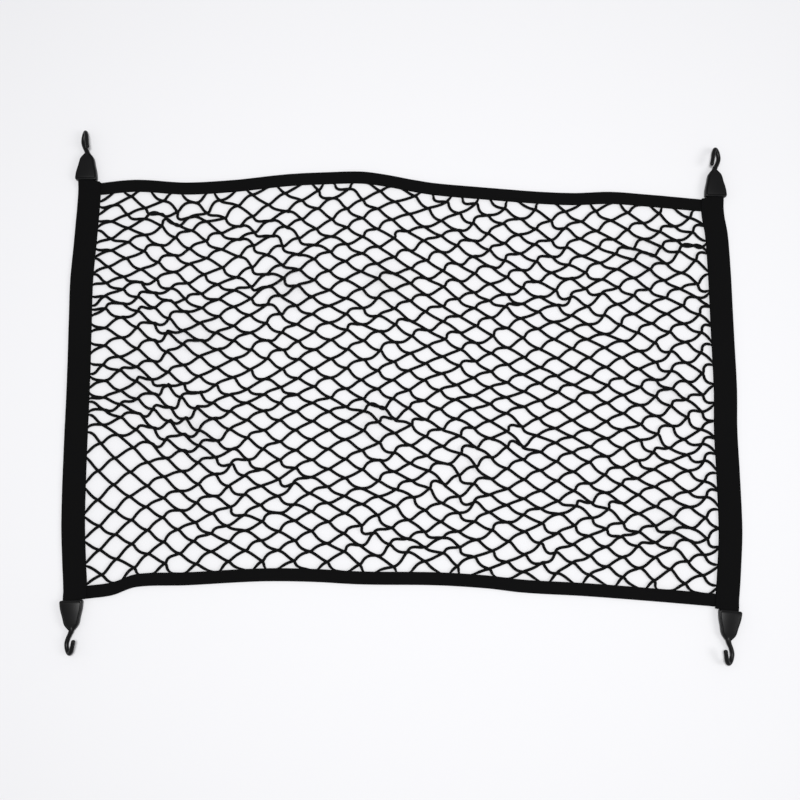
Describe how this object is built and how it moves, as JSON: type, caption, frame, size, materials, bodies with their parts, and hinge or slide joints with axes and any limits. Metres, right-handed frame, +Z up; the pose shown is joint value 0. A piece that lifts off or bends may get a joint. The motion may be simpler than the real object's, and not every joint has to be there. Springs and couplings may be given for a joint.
{
  "type": "cargo net",
  "caption": "Rectangular open-mesh cargo net lying flat, edged with folded webbing bands, with a moulded hook clip at each corner for holding loose luggage down.",
  "frame": {"origin": "middle of the ground under the net as it lies flat", "axes": "+X along the long side, towards the right-hand band; +Y towards the upper hem; +Z up from the ground, through the net"},
  "size_m": [0.8022, 0.6434, 0.0175],
  "materials": {
    "cord": "matte black knitted elastic cord",
    "webbing": "matte black woven webbing",
    "plastic": "satin black moulded plastic"
  },
  "bodies": {
    "root": {"net_panel": "cord", "band_top": "webbing", "band_bottom": "webbing", "band_left": "webbing", "band_right": "webbing", "clip_top_left": "plastic", "clip_top_right": "plastic", "clip_bottom_left": "plastic", "clip_bottom_right": "plastic"}
  },
  "joints": []
}
